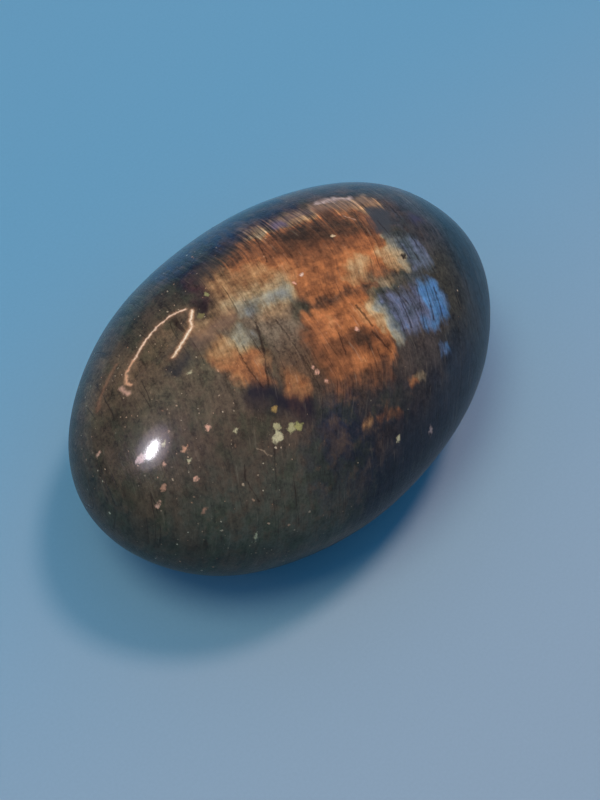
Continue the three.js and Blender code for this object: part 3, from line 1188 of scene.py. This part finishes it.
def camera_axes():
    """The camera's right, up and back directions."""
    sine, cosine = math.sin(CAMERA_TURN), math.cos(CAMERA_TURN)
    lift, level = math.sin(CAMERA_RISE), math.cos(CAMERA_RISE)
    right = Vector((cosine, -sine, 0))
    up = Vector((sine * lift, cosine * lift, level))
    back = Vector((-sine * level, -cosine * level, lift))
    return right, up, back


def make_camera():
    right, up, back = camera_axes()
    data = bpy.data.cameras.new("camera")
    data.lens = LENS_MM
    data.sensor_width = SENSOR_MM
    camera = bpy.data.objects.new("camera", data)
    turn = Matrix((right, up, back)).transposed().to_4x4()
    middle = Vector((0, 0, WIDEST_LEVEL))
    place = middle + right * CAMERA_RIGHT + up * CAMERA_UP + back * CAMERA_DISTANCE
    camera.matrix_world = Matrix.Translation(place) @ turn
    bpy.context.scene.collection.objects.link(camera)
    bpy.context.scene.camera = camera


def make_lamp(lamp):
    data = bpy.data.lights.new(lamp.name, "AREA")
    data.shape = "ELLIPSE"
    data.size = lamp.size_x
    data.size_y = lamp.size_y
    data.energy = lamp.power
    data.color = lamp.colour
    made = bpy.data.objects.new(lamp.name, data)
    direction = Vector(lamp.direction).normalized()
    made.location = Vector((0, 0, WIDEST_LEVEL)) + direction * lamp.distance
    facing = direction.to_track_quat("Z", "Y").to_matrix()
    made.rotation_euler = (facing @ Matrix.Rotation(math.radians(lamp.roll), 3, "Z")).to_euler()
    made.visible_diffuse = lamp.diffuse
    made.visible_glossy = lamp.glossy
    bpy.context.scene.collection.objects.link(made)


def floor_shader(graph, studio):
    """A plain cloth, greyer towards the camera's lower right and bluer towards its upper left: painted warm
    light towards the lower right, and painted shade towards the upper left.
    """
    place = graph.node("ShaderNodeTexCoord", None, (), "Object")
    speckle = graph.node(
        "ShaderNodeTexNoise", None, {"Vector": place, "Scale": CLOTH_SPECKLES, "Detail": 2.0}, "Fac"
    )
    right, up, _ = camera_axes()
    painted_light_share = place.dot(right * FLOOR_SHIFT_RIGHT - up * FLOOR_SHIFT_DOWN).step(*FLOOR_RISE)
    colour = graph.mix_colour(painted_light_share, studio.floor_far_painted_shade, studio.floor_near_painted_light)
    shade = graph.shaded(colour, (speckle - NOISE_MIDDLE) * CLOTH_CONTRAST + 1)
    return graph.node(
        "ShaderNodeBsdfPrincipled",
        None,
        {"Base Color": shade, "Roughness": 0.7, "Specular IOR Level": 0.3},
    )


def make_floor(studio):
    mesh = bpy.data.meshes.new("floor")
    half = studio.floor_size / 2
    corners = [(-half, -half, 0), (half, -half, 0), (half, half, 0), (-half, half, 0)]
    mesh.from_pydata(corners, [], [(0, 1, 2, 3)])
    mesh.materials.append(new_material("floor", lambda graph: floor_shader(graph, studio)))
    floor = bpy.data.objects.new("floor", mesh)
    bpy.context.scene.collection.objects.link(floor)


def make_surroundings(studio):
    """A dim bluish room, darker near the floor than above."""
    world = bpy.data.worlds.new("surroundings")
    world.use_nodes = True
    graph = Graph(world.node_tree)
    direction = graph.node("ShaderNodeTexCoord", None, (), "Generated")
    above = direction.dot(Z_AXIS).step(*ROOM_RISE)
    colour = graph.mix_colour(above, studio.wall_colour, studio.room_colour)
    background = world.node_tree.nodes["Background"]
    world.node_tree.links.new(colour.socket, background.inputs["Color"])
    background.inputs["Strength"].default_value = 1.0
    bpy.context.scene.world = world


# The add-on


def colour_property(name, description, default):
    return bpy.props.FloatVectorProperty(
        name=name, description=description, default=default, subtype="COLOR", size=3, min=0.0, max=1.0
    )


def length_property(name, description, default):
    return bpy.props.FloatProperty(
        name=name, description=description, default=default, unit="LENGTH", precision=5
    )


def share_property(name, description, default):
    return bpy.props.FloatProperty(name=name, description=description, default=default, min=0.0, max=1.0)


class StoneShape(bpy.types.PropertyGroup):
    length: length_property("Length", "Length of the stone", LENGTH)
    width: length_property("Width", "Greatest width of the stone", WIDTH)
    dome: length_property("Dome", "Height of the top above the widest level", DOME)
    keel: length_property("Keel", "Depth of the underside below the widest level", KEEL)
    flat_depth: length_property("Flat depth", "How much the resting flat takes off the keel", FLAT_DEPTH)
    hollow_depth: length_property("Hollow depth", "Depth of the hollow on the shoulder", HOLLOW_DEPTH)
    taper: bpy.props.FloatProperty(
        name="Taper", description="Share of the width gained at the +X end", default=TAPER
    )
    lean: bpy.props.FloatProperty(
        name="Lean",
        description="How far both ends bend towards +Y, as a share of half the width",
        default=LEAN,
    )
    points_per_edge: bpy.props.IntProperty(
        name="Points per edge",
        description="Fineness of the surface",
        default=POINTS_PER_EDGE,
        min=9,
        max=POINTS_PER_EDGE,
    )


class StoneFinish(bpy.types.PropertyGroup):
    body_olive: colour_property("Olive", "Main colour of the stone", (0.052, 0.048, 0.034))
    body_brown: colour_property("Brown", "Warmer parts of the stone", (0.094, 0.060, 0.038))
    body_green: colour_property("Green", "Greener parts of the stone", (0.046, 0.052, 0.028))
    speck_copper: colour_property("Copper specks", "Colour of the coppery grains", (0.55, 0.26, 0.14))
    speck_cream: colour_property("Cream specks", "Colour of the pale grains", (0.70, 0.58, 0.40))
    inner_relief: share_property("Inner relief", "How strongly the lamellae catch the light", 0.35)
    polish_roughness: share_property("Polish roughness", "Roughness of the polished surface", 0.12)


class Studio(bpy.types.PropertyGroup):
    floor_size: length_property("Floor size", "Side of the square floor", 6.0)
    # The near floor colour is painted warm light, and the far one painted shade
    floor_near_painted_light: colour_property("Near floor", "Colour of the floor near the camera", (0.273, 0.395, 0.510))
    floor_far_painted_shade: colour_property("Far floor", "Colour of the floor beyond the stone", (0.135, 0.357, 0.544))
    room_colour: colour_property("Room colour", "Light from above", (0.070, 0.150, 0.250))
    wall_colour: colour_property("Wall colour", "Light from low down on all sides", (0.010, 0.080, 0.180))


class StonePanelSettings(bpy.types.PropertyGroup):
    shape: bpy.props.PointerProperty(type=StoneShape)
    finish: bpy.props.PointerProperty(type=StoneFinish)
    studio: bpy.props.PointerProperty(type=Studio)


class PALMSTONE_OT_stage(bpy.types.Operator):
    """Makes the floor, the lamps, the surroundings and the camera"""

    bl_idname = "palmstone.stage"
    bl_label = "Make Stage"

    def execute(self, context):
        studio = context.scene.palm_stone.studio
        make_camera()
        make_floor(studio)
        make_surroundings(studio)
        for lamp in LAMPS:
            make_lamp(lamp)
        context.scene.view_settings.view_transform = "Standard"
        return {"FINISHED"}


class PALMSTONE_OT_stone(bpy.types.Operator):
    """Makes the polished labradorite stone"""

    bl_idname = "palmstone.stone"
    bl_label = "Make Stone"

    def execute(self, context):
        settings = context.scene.palm_stone
        material = new_material(NODE, lambda graph: stone_shader(graph, settings.finish))
        mesh = stone_mesh(settings.shape, material)
        if not mesh.vertices:
            raise RuntimeError("the surface tree made no mesh")
        fit_to_box(mesh, *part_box(NODE))
        mesh.name = "polished stone"
        stone = bpy.data.objects.new("polished_stone", mesh)
        context.scene.collection.objects.link(stone)
        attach(stone, "root")
        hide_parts(NODE)
        return {"FINISHED"}


class PALMSTONE_PT_panel(bpy.types.Panel):
    bl_label = "Palm Stone"
    bl_idname = "PALMSTONE_PT_panel"
    bl_space_type = "VIEW_3D"
    bl_region_type = "UI"
    bl_category = "Stone"

    def draw(self, context):
        settings = context.scene.palm_stone
        for group in (settings.shape, settings.finish, settings.studio):
            box = self.layout.box()
            for name in group.__annotations__:
                box.prop(group, name)
        self.layout.operator(PALMSTONE_OT_stage.bl_idname)
        self.layout.operator(PALMSTONE_OT_stone.bl_idname)


CLASSES = (
    StoneShape,
    StoneFinish,
    Studio,
    StonePanelSettings,
    PALMSTONE_OT_stage,
    PALMSTONE_OT_stone,
    PALMSTONE_PT_panel,
)


def register():
    for cls in CLASSES:
        bpy.utils.register_class(cls)
    bpy.types.Scene.palm_stone = bpy.props.PointerProperty(type=StonePanelSettings)


def unregister():
    del bpy.types.Scene.palm_stone
    for cls in reversed(CLASSES):
        bpy.utils.unregister_class(cls)


def main():
    register()
    bpy.ops.palmstone.stage()
    bpy.ops.palmstone.stone()


if __name__ == "__main__":
    main()
